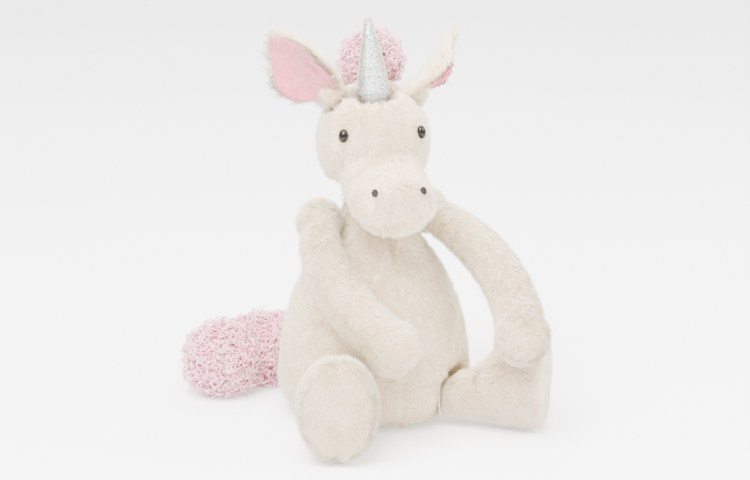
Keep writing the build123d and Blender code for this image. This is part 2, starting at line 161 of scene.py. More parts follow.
def pile_material(name, root, middle, tip, patch, patch_mm, **principled):
    """Strand finish: a root-to-tip ramp from the UV map, tinted by soft patches of another colour."""
    made, tree, shader = material(name, **principled)
    uv = node(tree, "ShaderNodeUVMap", {"uv_map": PILE_UV})
    split = node(tree, "ShaderNodeSeparateXYZ", links={"Vector": uv.outputs["UV"]})
    cells = node(tree, "ShaderNodeMath", {"operation": "MULTIPLY"}, {0: split.outputs["Y"]})
    cells.inputs[1].default_value = PILE_CELLS
    along = node(tree, "ShaderNodeMath", {"operation": "FRACT"}, {0: cells.outputs[0]})
    # painted shade at the root of every strand and painted light at its tip
    shade = ramp(tree, along.outputs[0], [(0.08, root), (0.45, middle), (0.95, tip)])
    blotch = node(tree, "ShaderNodeMapRange", links={"Value": spots(tree, patch_mm).outputs["Fac"]})
    blotch.inputs["From Min"].default_value = 0.45
    blotch.inputs["From Max"].default_value = 0.75
    blotch.inputs["To Max"].default_value = 0.55
    tint = mixed(tree, blotch.outputs["Result"], (1, 1, 1, 1), linear(patch))
    tree.links.new(mixed(tree, 1.0, shade, tint, "MULTIPLY"), shader.inputs["Base Color"])
    return made


PILE_CELLS = 256.0  # strands across and up the UV map
# the root colours hold painted shade and the tip colours painted light
cream_pile = pile_material("cream polyester plush pile", "#CFAA75", "#F0DBB5", "#FFF5DF", "#F2DDB8", 16,
                           Roughness=0.85, Sheen_Weight=0.25, Sheen_Roughness=0.5)
velour_pile = pile_material("pink velour pile", "#CF6078", "#EC8FA2", "#F7B6C2", "#F3C4C6", 5,
                            Roughness=0.8, Sheen_Weight=0.4, Sheen_Roughness=0.4)
curl_pile = pile_material("pink curly plush pile", "#E6879B", "#F6ADBA", "#FFD2D9", "#FBD3DA", 7,
                          Roughness=0.8, Sheen_Weight=0.3, Sheen_Roughness=0.5)


def knit_material(name, base, deep, loop_mm=1.2):
    """Knitted backing under the pile: small loops in two tones with a little relief."""
    made, tree, shader = material(name, Roughness=0.95)
    place = node(tree, "ShaderNodeTexCoord")
    loops = node(tree, "ShaderNodeTexVoronoi", links={"Vector": place.outputs["Object"]},
                 Scale=1 / (loop_mm * MM))
    tone = ramp(tree, loops.outputs["Distance"], [(0.1, base), (0.8, deep)])
    tree.links.new(tone, shader.inputs["Base Color"])
    bumped(tree, shader, loops.outputs["Distance"], 0.25, 0.4)
    return made


cream_backing = knit_material("cream knitted backing", "#EDDCC0", "#D2BC98")
pink_backing = knit_material("pink knitted backing", "#EE93A5", "#D37388")
velour_backing = knit_material("velour backing", "#E8859A", "#CB6379")
print("pile and backing materials made")

# %% [markdown]
# Every soft body on the toy is a fabric shell pressed outwards by its stuffing. The stuffing solids of
# the frame are just smaller than the finished surface, so each one is copied, remeshed evenly, and
# swollen as cloth with air pressure inside. The movement is capped, so that the toy keeps its size.

# %% Sizes of the toy that the skins and the pile need, in millimetres
NECK = np.array([0.0, 0.0, 165.0])
HEAD_TURN = math.radians(-6)
HEAD_ACROSS = np.array([math.cos(HEAD_TURN), math.sin(HEAD_TURN), 0.0])
HEAD_BACK = np.array([-math.sin(HEAD_TURN), math.cos(HEAD_TURN), 0.0])
HEAD_AXES = np.stack([HEAD_ACROSS, HEAD_BACK, [0.0, 0.0, 1.0]])
HORN_BASE = np.array([-1.5, -5.0, 65.0])
EARS = {"right": ((-29, 3, 63), (-44, 4, 46), (-0.45, -0.85, -0.35)),
        "left": ((29, 3, 63), (33, 8, 42), (0.93, 0.12, -0.35))}
ARMS = {"right": ((-43, -8, 144), (-62, -58, 112), (-17, -84, 72)),
        "left": ((37, -1, 144), (84, -50, 120), (69, -108, 78))}
LEGS = {"right": ((-40, -55, 22), 246.0), "left": ((45, -49, 22), 328.0)}
TAIL = ((0, 67, 30), (-30, 106, 25), (-93, 70, 26.4))
BALLS = {"neck": (NECK, 24.0), "tail": (np.array(TAIL[0], float), 11.0)}
for side in ("left", "right"):
    BALLS[f"shoulder_{side}"] = (np.array(ARMS[side][0], float), 16.0)
    BALLS[f"hip_{side}"] = (np.array(LEGS[side][0], float), 18.0)


def in_head(points):
    """Toy millimetres to the head's own frame: x across, y back, z up, from the neck ball's centre."""
    return (points - NECK) @ HEAD_AXES.T


def from_head(points):
    """The head's own frame back to toy millimetres."""
    return np.asarray(points, float) @ HEAD_AXES + NECK


def unit(vectors):
    """Vectors divided by their lengths."""
    vectors = np.asarray(vectors, float)
    return vectors / np.maximum(np.linalg.norm(vectors, axis=-1, keepdims=True), 1e-9)


def bent_path(points, steps=40):
    """Quadratic Bezier through a limb: places and headings at even steps."""
    start, bend, end = (np.array(p, float) for p in points)
    u = np.linspace(0, 1, steps)[:, None]
    place = start * (1 - u) ** 2 + bend * 2 * u * (1 - u) + end * u**2
    return place, unit((bend - start) * (1 - u) + (end - bend) * u)


print("head turned", round(math.degrees(HEAD_TURN), 1), "degrees;", len(BALLS), "joint balls")

# %% Mesh helpers


def coordinates(mesh):
    """Vertices of a mesh as an array in millimetres."""
    flat = np.empty(len(mesh.vertices) * 3)
    mesh.vertices.foreach_get("co", flat)
    return flat.reshape(-1, 3) / MM


def place_vertices(mesh, points):
    """Write millimetre positions back to a mesh."""
    mesh.vertices.foreach_set("co", (points * MM).astype(np.float32).ravel())
    mesh.update()


def vertex_normals(mesh):
    flat = np.empty(len(mesh.vertices) * 3)
    mesh.vertex_normals.foreach_get("vector", flat)
    return flat.reshape(-1, 3)


def face_corners(mesh):
    """Triangles of a mesh as an array of vertex numbers."""
    mesh.calc_loop_triangles()
    flat = np.empty(len(mesh.loop_triangles) * 3, np.int32)
    mesh.loop_triangles.foreach_get("vertices", flat)
    return flat.reshape(-1, 3)


def object_from(name, points, faces, smooth=True, finish=None):
    """New object from millimetre points and faces, with its own mesh and, if given, its finish."""
    mesh = bpy.data.meshes.new(name)
    faces = faces if isinstance(faces, list) else faces.tolist()
    mesh.from_pydata((np.asarray(points) * MM).tolist(), [], faces)
    mesh.update()
    if smooth:
        mesh.polygons.foreach_set("use_smooth", np.ones(len(mesh.polygons), bool))
    if finish is not None:
        mesh.materials.append(finish)
    made = bpy.data.objects.new(name, mesh)
    bpy.context.scene.collection.objects.link(made)
    return made


def applied(thing):
    """Turn an object's modifiers into plain vertices."""
    graph = bpy.context.evaluated_depsgraph_get()
    fresh = bpy.data.meshes.new_from_object(thing.evaluated_get(graph))
    thing.modifiers.clear()
    thing.data = fresh
    return thing


def largest_island(mesh):
    """Keep only the biggest connected part: each vertex takes its neighbours' lowest number."""
    edges = np.empty(len(mesh.edges) * 2, np.int32)
    mesh.edges.foreach_get("vertices", edges)
    a, b = edges.reshape(-1, 2).T
    label = np.arange(len(mesh.vertices))
    changed = True
    while changed:
        before = label.copy()
        low = np.minimum(label[a], label[b])
        np.minimum.at(label, a, low)
        np.minimum.at(label, b, low)
        label = label[label]
        changed = bool((label != before).any())
    keep = label == np.bincount(label).argmax()
    faces = [tuple(f.vertices) for f in mesh.polygons]
    number = np.cumsum(keep) - 1
    kept = [tuple(int(number[v]) for v in f) for f in faces if keep[f[0]]]
    return coordinates(mesh)[keep], kept


def remeshed(name, nodes, voxel_mm, inset_mm=0.0):
    """One even mesh round the CAD nodes, drawn in by the inset along its normals."""
    points, faces, start = [], [], 0
    for each in nodes:
        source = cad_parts[each].data
        corner = coordinates(source)
        points.append(corner)
        faces.append(face_corners(source) + start)
        start += len(corner)
    rough = object_from(name + ".rough", np.concatenate(points), np.concatenate(faces), False)
    voxels = rough.modifiers.new("voxels", "REMESH")
    voxels.mode, voxels.voxel_size = "VOXEL", voxel_mm * MM
    applied(rough)
    corner, kept = largest_island(rough.data)
    bpy.data.objects.remove(rough)
    mesh = bpy.data.meshes.new(name)
    mesh.from_pydata((corner * MM).tolist(), [], kept)
    mesh.update()
    place_vertices(mesh, corner - vertex_normals(mesh) * inset_mm)
    made = bpy.data.objects.new(name, mesh)
    bpy.context.scene.collection.objects.link(made)
    mesh.polygons.foreach_set("use_smooth", np.ones(len(mesh.polygons), bool))
    return made


# %% Remesh the stuffed bodies
SOFT_BODIES = {  # piece: (body, stuffing, covers, voxel mm, backing, slot)
    "torso_skin": ("torso", "torso_stuffing",
                   ["belly_panel_left", "belly_panel_right", "back_panel_left", "back_panel_right",
                    "seat_panel"], 4.0, cream_backing, "cream_fur"),
    "head_skin": ("head", "head_stuffing",
                  ["face_gusset", "head_side_left", "head_side_right", "muzzle_cover", "chin_panel"],
                  3.5, cream_backing, "cream_fur"),
    "tail_skin": ("tail", "tail_stuffing", ["tail_cover"], 4.0, pink_backing, "curl_plush"),
}
for side in ("left", "right"):
    SOFT_BODIES[f"arm_skin_{side}"] = (
        f"arm_{side}", f"arm_stuffing_{side}",
        [f"arm_outer_panel_{side}", f"arm_inner_panel_{side}"], 3.5, cream_backing, "cream_fur")
    SOFT_BODIES[f"leg_skin_{side}"] = (
        f"leg_{side}", f"leg_stuffing_{side}",
        [f"leg_outer_panel_{side}", f"leg_inner_panel_{side}", f"sole_{side}"], 4.0,
        cream_backing, "cream_fur")
skins = {name: remeshed(name, [stuffing], voxel)
         for name, (body, stuffing, covers, voxel, backing, slot) in SOFT_BODIES.items()}
for side in ("left", "right"):  # a stuffed foot has no hard edge round its sole
    round_off = skins[f"leg_skin_{side}"].modifiers.new("round off", "SMOOTH")
    round_off.iterations, round_off.factor = 9, 0.5
    applied(skins[f"leg_skin_{side}"])
print({name: len(skin.data.vertices) for name, skin in skins.items()})

# %% [markdown]
# All the shells swell together in one cloth run with no gravity. Twenty frames are enough for the
# pressure to round the form, and the cap holds every point within a small distance of where it began.

# %% Swell the skins
SWELL_CAP, LIMB_SWELL_CAP = 1.6, 2.8
before = {name: coordinates(skin.data) for name, skin in skins.items()}
for skin in skins.values():
    cloth = skin.modifiers.new("swelling", "CLOTH").settings
    cloth.use_pressure, cloth.uniform_pressure_force = True, 4.0
    cloth.effector_weights.gravity = 0.0
    cloth.quality = 4
for step in range(1, 21):
    bpy.context.scene.frame_set(step)
graph = bpy.context.evaluated_depsgraph_get()
for name, skin in skins.items():
    swollen = coordinates(skin.evaluated_get(graph).data)
    moved = np.nan_to_num(swollen - before[name])
    far = np.linalg.norm(moved, axis=1, keepdims=True)
    cap = SWELL_CAP if name in ("torso_skin", "head_skin") else LIMB_SWELL_CAP
    capped = before[name] + moved * np.minimum(1, cap / np.maximum(far, 1e-6))
    skin.modifiers.clear()
    place_vertices(skin.data, capped)
    print(name, "moved up to", round(float(far.max()), 1), "mm before the cap")
bpy.context.scene.frame_set(1)

# %% [markdown]
# Sewing pulls the shell in along every seam. The pull is a soft groove on either side of each seam's
# line, worked out from the distance to the plane that the panels meet in.

# %% Seams
SEAM_DEPTH, SEAM_WIDTH = 1.0, 2.4
SOLE_DISTANCE = 62.0


def seams_of(name, points):
    """Distance in mm from each point to the nearest seam of that body."""
    if name == "torso_skin":
        seams = [np.where(points[:, 2] < 150, np.abs(points[:, 0]), 99.0), np.abs(points[:, 1])]
    elif name == "head_skin":
        local = in_head(points)
        behind = local[:, 1] > -46
        seams = [np.where(behind, np.abs(np.abs(local[:, 0]) - 13), 99.0), np.abs(local[:, 1] + 46),
                 np.where(behind, 99.0, np.abs(local[:, 2] + 9))]
    elif name.startswith("arm_skin"):
        start, bend, end = (np.array(p, float) for p in ARMS[name.rsplit("_", 1)[1]])
        seams = [np.abs((points - start) @ unit(np.cross(bend - start, end - start)))]
    elif name.startswith("leg_skin"):
        hip, heading = LEGS[name.rsplit("_", 1)[1]]
        turn = math.radians(heading)
        away = np.array([math.cos(turn), math.sin(turn), 0.0])
        across = np.array([-math.sin(turn), math.cos(turn), 0.0])
        seams = [np.abs((points - hip) @ across), np.abs((points - hip) @ away - SOLE_DISTANCE)]
    else:
        seams = [np.full(len(points), 99.0)]
    return np.min(seams, axis=0)


def fullness(name, points):
    """Extra fullness in mm: bell curves round both ends of an arm, where stuffing gathers, and over
    a leg between its hip and its foot, where the cloth bunches."""
    side = name.rsplit("_", 1)[1]
    if name.startswith("arm_skin"):
        place, heading = bent_path(ARMS[side])
        gaps = [np.linalg.norm(points - end, axis=1) for end in (place[0], place[-1])]
        return 2.5 * np.exp(-((gaps[0] / 16) ** 2)) + 3.0 * np.exp(-((gaps[1] / 18) ** 2))
    if not name.startswith("leg_skin"):
        return np.zeros(len(points))
    hip, heading = LEGS[side]
    turn = math.radians(heading)
    out = (points - hip) @ np.array([math.cos(turn), math.sin(turn), 0.0])
    return 9.0 * np.exp(-(((out - 20) / 13) ** 2)) * np.clip((points[:, 2] - 14) / 16, 0, 1)


SEAT_HEIGHT = 0.7  # the cloth's lowest height: what sits on the floor is pressed flat
for name, skin in skins.items():
    finer = skin.modifiers.new("finer", "SUBSURF")
    finer.levels = finer.render_levels = 1
    applied(skin)
    points = coordinates(skin.data)
    groove = SEAM_DEPTH * np.exp(-((seams_of(name, points) / SEAM_WIDTH) ** 2))
    push = fullness(name, points) - groove
    points = points + vertex_normals(skin.data) * push[:, None]
    points[:, 2] = np.maximum(points[:, 2], SEAT_HEIGHT)
    place_vertices(skin.data, points)
    body, stuffing, covers, voxel, backing, slot = SOFT_BODIES[name]
    skin.data.materials.clear()
    skin.data.materials.append(backing)
    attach(skin, body)
    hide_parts(stuffing, *covers)
print("skins", sum(len(face_corners(skin.data)) for skin in skins.values()), "triangles")

# %% [markdown]
# The ears are leaves of fur fabric with a velour lining, cupped along their length. Both layers keep
# the frame's shape, remeshed finely enough to follow the curl of the cup.

# %% Ear layers
EAR_SPREAD = {"outer": 1.28, "lining": 1.2}  # how much wider the cloth is cut than its solid
EAR_TWIST = {"left": math.radians(-24), "right": 0.0}  # turn of the cup about the ear's length


def spread_ear(mesh, side, share):
    """Widen a leaf from its middle line over the first 15 mm from the root, and turn the cup."""
    root, tip, opens = (np.array(v, float) for v in EARS[side])
    way = unit(tip)
    mouth = unit(opens - way * (opens @ way))
    across = np.cross(way, mouth)
    local = in_head(coordinates(mesh)) - root
    deep = local @ mouth
    wide = (local @ across) * (1 + (share - 1) * np.clip((local @ way) / 15, 0, 1))
    turn = EAR_TWIST[side]
    turned = ((deep * math.cos(turn) - wide * math.sin(turn))[:, None] * mouth
              + (deep * math.sin(turn) + wide * math.cos(turn))[:, None] * across)
    place_vertices(mesh, from_head(turned + (local @ way)[:, None] * way + root))


ear_layers = {}
for side, ear in EARS.items():
    for layer, backing, slot in (("outer", cream_backing, "cream_fur"),
                                 ("lining", velour_backing, "ear_velour")):
        name = f"ear_{layer}_fabric_{side}"
        fabric = remeshed(name, [f"ear_{layer}_{side}"], 1.1, 0.7)
        soften = fabric.modifiers.new("soften", "SMOOTH")
        soften.iterations, soften.factor = 6, 0.5
        applied(fabric)
        spread_ear(fabric.data, side, EAR_SPREAD[layer])
        fabric.data.materials.clear()
        fabric.data.materials.append(backing)
        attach(fabric, f"ear_{side}")
        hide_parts(f"ear_{layer}_{side}")
        ear_layers[layer, side] = fabric
print("ear layers", [len(layer.data.vertices) for layer in ear_layers.values()])

# %% [markdown]
# A strand is a needle of four faces: a small triangle at its root and a point at its tip. Its lean
# follows the nap, the way that the cloth was cut, and a smooth swirl gathers neighbours into wisps, as
# handling does to real plush.

# %% Strand builder
EDGE_TUCK = 0.4  # how far a strand's root sits inside the backing
PRESSED_HEIGHT = 0.1  # tips that would reach below the floor are bent along it at this height


def swirl(points, wavelength, seed, waves=10):
    """Smooth random vectors: a sum of sines along random directions, about a wavelength apart."""
    draw = np.random.default_rng(seed)
    way = unit(draw.normal(size=(waves, 3))) * (2 * math.pi / wavelength)
    way *= draw.uniform(0.6, 1.5, (waves, 1))
    phase = draw.uniform(0, 2 * math.pi, (waves, 3))
    push = np.zeros_like(points)
    for axis in range(3):
        push[:, axis] = np.sin(points @ way.T + phase[:, axis]).sum(1)
    return push / math.sqrt(waves / 2)


def scattered(mesh, count, draw):
    """Random places on a mesh, even by area, with the surface's normals there."""
    points, corners = coordinates(mesh), face_corners(mesh)
    normals = vertex_normals(mesh)
    a, b, c = (points[corners[:, k]] for k in range(3))
    area = np.linalg.norm(np.cross(b - a, c - a), axis=1) / 2
    chosen = draw.choice(len(area), count, p=area / area.sum())
    u, v = draw.random((2, count))
    fold = u + v > 1
    u, v = np.where(fold, 1 - u, u), np.where(fold, 1 - v, v)
    weights = np.stack([1 - u - v, u, v], 1)[:, :, None]
    place = (points[corners[chosen]] * weights).sum(1)
    way = unit((normals[corners[chosen]] * weights).sum(1))
    return place, way, area.sum()


def strands(name, root, normal, way, length, radius, finish):
    """Needles from root along way: three corners round the root and one at the tip, four faces each."""
    count = len(root)
    side = unit(np.cross(way, normal + np.array([0.013, 0.017, 0.019])))
    other = np.cross(way, side)
    base = root - normal * EDGE_TUCK
    turn = np.array([0, 2, 4]) * math.pi / 3
    ring = [base + radius[:, None] * (math.cos(t) * side + math.sin(t) * other) for t in turn]
    tip = root + way * length[:, None]
    tip[:, 2] = np.maximum(tip[:, 2], PRESSED_HEIGHT)
    points = np.stack([*ring, tip], 1).reshape(-1, 3)
    first = np.arange(count)[:, None, None] * 4
    faces = (first + np.array([[0, 1, 3], [1, 2, 3], [2, 0, 3], [0, 2, 1]])).reshape(-1, 3)
    mesh = bpy.data.meshes.new(name)
    mesh.vertices.add(len(points))
    mesh.loops.add(faces.size)
    mesh.polygons.add(len(faces))
    mesh.loops.foreach_set("vertex_index", faces.ravel().astype(np.int32))
    mesh.polygons.foreach_set("loop_start", np.arange(0, faces.size, 3, dtype=np.int32))
    place_vertices(mesh, points)
    mesh.update(calc_edges=True)
    mesh.polygons.foreach_set("use_smooth", np.ones(len(faces), bool))
    strand_uv(mesh, count, np.array([[0.1, 0.1], [0.5, 0.1], [0.9, 0.1], [0.5, 0.9]]), faces)
    soft = unit(0.5 * np.repeat(normal, 4, 0) + 0.5 * unit(vertex_normals(mesh)))
    mesh.normals_split_custom_set_from_vertices(soft.tolist())
    mesh.materials.append(finish)
    made = bpy.data.objects.new(name, mesh)
    bpy.context.scene.collection.objects.link(made)
    return made


def strand_uv(mesh, count, cell, faces):
    """One small square of the UV map for each strand, its root at the bottom and its tip at the top."""
    number = faces.ravel() // len(cell)
    local = cell[faces.ravel() % len(cell)]
    grid = int(PILE_CELLS)
    corner = np.stack([number % grid, number // grid], 1)
    uv = mesh.uv_layers.new(name=PILE_UV)
    uv.data.foreach_set("uv", ((corner + local) / grid).astype(np.float32).ravel())


# %% [markdown]
# No pile grows where it would be sewn in or rubbed away: inside the joints, under the eyes, at the
# nostrils and the horn. Along the seams it is shorter.

# %% Where pile grows
TORSO_PROFILE = np.array([(42, 0), (61, 9), (68.5, 34), (63, 72), (48, 108), (32.5, 131.5), (21, 151)])
SKULL_MIDDLE, SKULL_SIZE = np.array([0.0, 3.0, 31.0]), np.array([41.0, 41.0, 45.0])
EYES = np.array([[-27.5, -27.0, 41.5], [27.5, -27.0, 41.5]])
NOSTRILS = np.array([[-16.8, -76.0, 12.5], [16.8, -76.0, 12.5]])


def inside_torso(points, spare):
    """True where a point is nearer the middle than the torso's own wall, less a little room."""
    wall = np.interp(points[:, 2], TORSO_PROFILE[:, 1], TORSO_PROFILE[:, 0], right=0)
    return np.hypot(points[:, 0], points[:, 1]) < wall + spare


def inside_skull(points, spare):
    local = in_head(points) - SKULL_MIDDLE
    return (local**2 / (SKULL_SIZE + spare) ** 2).sum(1) < 1


def near_any(points, places, reach):
    gap = np.linalg.norm(points[:, None, :] - places[None, :, :], axis=2)
    return (gap < reach).any(1)


def near_ball(points, ball, extra):
    centre, radius = BALLS[ball]
    return np.linalg.norm(points - centre, axis=1) < radius + extra


def bare(name, points):
    """True where no pile grows on that skin."""
    if name == "torso_skin":
        hidden = inside_skull(points, -1.0) | (points[:, 2] < 3.2)
        for ball, room in (("tail", 3.2), ("shoulder_left", 3.2), ("shoulder_right", 3.2),
                           ("hip_left", 1.4), ("hip_right", 1.4)):
            hidden |= near_ball(points, ball, room)
        return hidden
    if name == "head_skin":
        local = in_head(points)
        hidden = near_ball(points, "neck", 6.0) | near_any(local, NOSTRILS, 3.0)
        hidden |= near_any(local[:, :2], EYES[:, :2], 3.4) & (np.abs(local[:, 2] - 41.5) < 4.3)
        hidden |= np.linalg.norm(local - HORN_BASE, axis=1) < 16.5
        hidden |= (np.abs(local[:, 0]) < 10) & (local[:, 1] > 15) & (local[:, 2] > 8)
        for root, tip, opens in EARS.values():
            hidden |= np.linalg.norm(local - np.array(root), axis=1) < 9.8
        return hidden
    return inside_torso(points, -3.0) & (points[:, 2] > 0)


def nearest_heading(points, path):
    """Heading of a limb's path beside each point."""
    place, heading = bent_path(path)
    gap = np.linalg.norm(points[:, None, :] - place[None, :, :], axis=2)
    return heading[gap.argmin(1)]


def nap(name, points):
    """The way that the pile lies on a skin, before it is laid flat on the surface."""
    if name == "torso_skin":
        return np.tile([0.0, 0.0, -1.0], (len(points), 1)) + 0.15 * unit(points * [1, 1, 0])
    if name == "head_skin":
        return unit(np.array([0.0, 0.55, -0.8]) @ HEAD_AXES + 0.35 * unit(points - NECK - [0, 0, 30]))
    side = name.rsplit("_", 1)[1]
    if name.startswith("arm"):
        return nearest_heading(points, ARMS[side])
    if name.startswith("leg"):
        turn = math.radians(LEGS[side][1])
        return np.tile([math.cos(turn), math.sin(turn), -0.6], (len(points), 1))
    root, tip, opens = EARS[side]
    return np.tile(unit(np.array(tip)) @ HEAD_AXES, (len(points), 1))


def pile(name, skin_name, mesh, count, length, finish, seed, lean=50.0, radius=0.26, split=None,
         seams=True, wispy=1.0, rim=None):
    """Grow pile on a mesh; split gives a piece's name from the strands' places, and rim is the way
    that an ear's cup opens, because pile stands longer where the surface turns away from it."""
    draw = np.random.default_rng(seed)
    root, normal, area = scattered(mesh, count, draw)
    keep = ~bare(skin_name, root) if seams else np.ones(count, bool)
    root, normal = root[keep], normal[keep]
    beside = seams_of(skin_name, root) if seams else np.full(len(root), 99.0)
    along = nap(skin_name, root)
    wisps = 0.40 * swirl(root, 11.0, seed + 1) + 0.22 * swirl(root, 4.5, seed + 2)
    along = along + wispy * wisps + draw.normal(scale=0.25, size=root.shape)
    flat = unit(along - normal * (along * normal).sum(1, keepdims=True))
    tilt = lean + wispy * 6.0 * swirl(root, 7.0, seed + 3)[:, 0] + draw.normal(scale=7, size=len(root))
    tilt = np.clip(np.radians(tilt), math.radians(12), math.radians(76))[:, None]
    way = np.cos(tilt) * normal + np.sin(tilt) * flat
    long = length * draw.uniform(0.72, 1.12, len(root)) * (1 - 0.25 * np.exp(-((beside / 2.2) ** 2)))
    if rim is not None:
        long = long * (1 + 0.9 * (1 - np.abs(normal @ rim)) ** 2)
    thick = radius * draw.uniform(0.8, 1.2, len(root))
    groups = {name: np.ones(len(root), bool)} if split is None else split(name, root)
    made = []
    for piece, mask in groups.items():
        made.append(strands(piece, root[mask], normal[mask], way[mask], long[mask], thick[mask], finish))
    print(name, len(root), "strands,", round(len(root) / (area / 100)), "per square cm")
    return made


# %% Grow the cream pile
def by_quarter(name, points):
    """Torso pile by panel: in front of or behind the side seams, left or right of the middle."""
    left, behind = points[:, 0] > 0, points[:, 1] > 0
    return {f"{name}_belly_left": left & ~behind, f"{name}_belly_right": ~left & ~behind,
            f"{name}_back_left": left & behind, f"{name}_back_right": ~left & behind}


def by_head_panel(name, points):
    local = in_head(points)
    muzzle, left = local[:, 1] < -46, local[:, 0] > 0
    return {f"{name}_muzzle": muzzle, f"{name}_left": ~muzzle & left, f"{name}_right": ~muzzle & ~left}


LIMB_WISPS = 0.45  # a limb is too slim to carry wisps as strong as the body's
FUR = {  # skin: (strands, length in mm, how to split them into pieces)
    "torso_skin": (105000, 5.0, by_quarter), "head_skin": (72000, 4.6, by_head_panel),
    "arm_skin_left": (32000, 5.6, None), "arm_skin_right": (32000, 5.6, None),
    "leg_skin_left": (38000, 5.6, None), "leg_skin_right": (38000, 5.6, None)}
for seed, (skin_name, (count, length, split)) in enumerate(FUR.items()):
    for tuft in pile(skin_name.replace("skin", "pile"), skin_name, skins[skin_name].data,
                     count, length, cream_pile, 100 + 10 * seed, split=split,
                     wispy=1.0 if split else LIMB_WISPS):
        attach(tuft, SOFT_BODIES[skin_name][0])

# %% [markdown]
# The ears carry the same cream pile outside and a very short velour pile inside, and the cream pile's
# longer fibres peep over the edge.

# %% Grow the ears' pile
for side in ("left", "right"):
    for layer, count, length, finish, slot, lean, radius in (
            ("outer", 17000, 4.8, cream_pile, "cream_fur", 40, 0.24),
            ("lining", 9000, 1.6, velour_pile, "ear_velour", 30, 0.22)):
        for tuft in pile(f"ear_{layer}_pile_{side}", f"ear_{side}", ear_layers[layer, side].data,
                         count, length, finish, 300 + len(layer) + len(side),
                         lean=lean, radius=radius, seams=False,
                         rim=unit(np.array(EARS[side][2])) @ HEAD_AXES if layer == "outer" else None):
            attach(tuft, f"ear_{side}")

# %% [markdown]
# The mane and the tail are a looped bouclé plush: every lock is a loose corkscrew of yarn. Each curl is
# a thin tube of three sides carried along a helix that leaves the cloth and turns about once.

# %% Curl builder
CURL_STEPS, CURL_SIDES = 9, 3


def curls(name, root, normal, draw, reach, turn_radius, yarn, finish):
    """Helices: along an axis that leans off the surface, turning about it, with a tube of three sides.

    A point at s along a curl is root + axis * s * reach + (cos, sin)(turns * s) * radius; the tube's
    corners stand off that line by the yarn's radius."""
    count = len(root)
    lean = unit(normal + draw.normal(scale=0.75, size=root.shape))
    side = unit(np.cross(lean, draw.normal(size=root.shape)))
    other = np.cross(lean, side)
    s = np.linspace(0, 1, CURL_STEPS)[None, :, None]
    turns = draw.uniform(0.9, 1.6, (count, 1, 1)) * 2 * math.pi * draw.choice([-1, 1], (count, 1, 1))
    wide = turn_radius * draw.uniform(0.6, 1.25, (count, 1, 1))
    rise = reach * draw.uniform(0.6, 1.1, (count, 1, 1))
    lean, side, other = lean[:, None, :], side[:, None, :], other[:, None, :]
    line = root[:, None, :] + lean * s * rise
    line = line + wide * ((np.cos(turns * s) - 1) * side + np.sin(turns * s) * other)
    line[..., 2] = np.maximum(line[..., 2], yarn + PRESSED_HEIGHT)
    ahead = unit(np.gradient(line, axis=1))
    across = unit(np.cross(ahead, lean + 0.01))
    up = np.cross(across, ahead)
    spin = (np.arange(CURL_SIDES) * 2 * math.pi / CURL_SIDES)[None, None, :, None]
    tube = line[:, :, None, :] + yarn * (np.cos(spin) * across[:, :, None] + np.sin(spin) * up[:, :, None])
    points = tube.reshape(-1, 3)
    k, c = np.meshgrid(np.arange(CURL_STEPS - 1), np.arange(CURL_SIDES), indexing="ij")
    here, there = (k * CURL_SIDES + c).ravel(), (k * CURL_SIDES + (c + 1) % CURL_SIDES).ravel()
    walls = np.concatenate([np.stack([here, there, here + CURL_SIDES], 1),
                            np.stack([there, there + CURL_SIDES, here + CURL_SIDES], 1)])
    last = (CURL_STEPS - 1) * CURL_SIDES
    one = np.concatenate([walls, [[0, 2, 1]], [[last, last + 1, last + 2]]])
    each = CURL_STEPS * CURL_SIDES
    faces = (np.arange(count)[:, None, None] * each + one).reshape(-1, 3)
    made = object_from(name, points, faces)
    place = np.repeat(np.linspace(0.08, 0.92, CURL_STEPS), CURL_SIDES)
    around = np.tile([0.1, 0.5, 0.9], CURL_STEPS)
    strand_uv(made.data, count, np.stack([around, place], 1), faces)
    made.data.materials.append(finish)
    return made


# %% Curls on the tail and the mane
draw = np.random.default_rng(41)
place, way, area = scattered(skins["tail_skin"].data, 3400, draw)
grown = ~near_ball(place, "tail", 3.0) & ~inside_torso(place, 1.0)
tail_curls = curls("tail_curls", place[grown] - way[grown] * 1.0, way[grown], draw, 9.5, 3.3, 0.45,
                   curl_pile)
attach(tail_curls, "tail")

for part, count, inset in (("front", 1000, 6.5), ("back", 1000, 4.0)):
    node_name = f"mane_curls_{part}"
    core = remeshed(f"mane_core_{part}", [node_name], 2.5, inset)  # a backing well inside the curls
    core.data.materials.append(pink_backing)
    place, way, area = scattered(core.data, count, draw)
    tuft = curls(f"mane_tuft_{part}", place - way * 1.0, way, draw, 12.0, 3.2, 0.42, curl_pile)
    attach(core, "head")
    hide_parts(node_name)
    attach(tuft, "head")
print("curls", len(tail_curls.data.polygons), "triangles on the tail")

# %% [markdown]
# The horn is a slim stuffed cone of metallic knit. It is a profile turned about its axis, slightly
# flattened, with soft hoops where the stuffing shows and a blunt gathered point.

# %% Horn surface
HORN_LEAN = math.radians(18)
HORN_WAY = np.array([0.0, math.sin(HORN_LEAN), math.cos(HORN_LEAN)])
HORN_LENGTH, HORN_RADIUS, HORN_TIP = 53.0, 12.0, 1.5


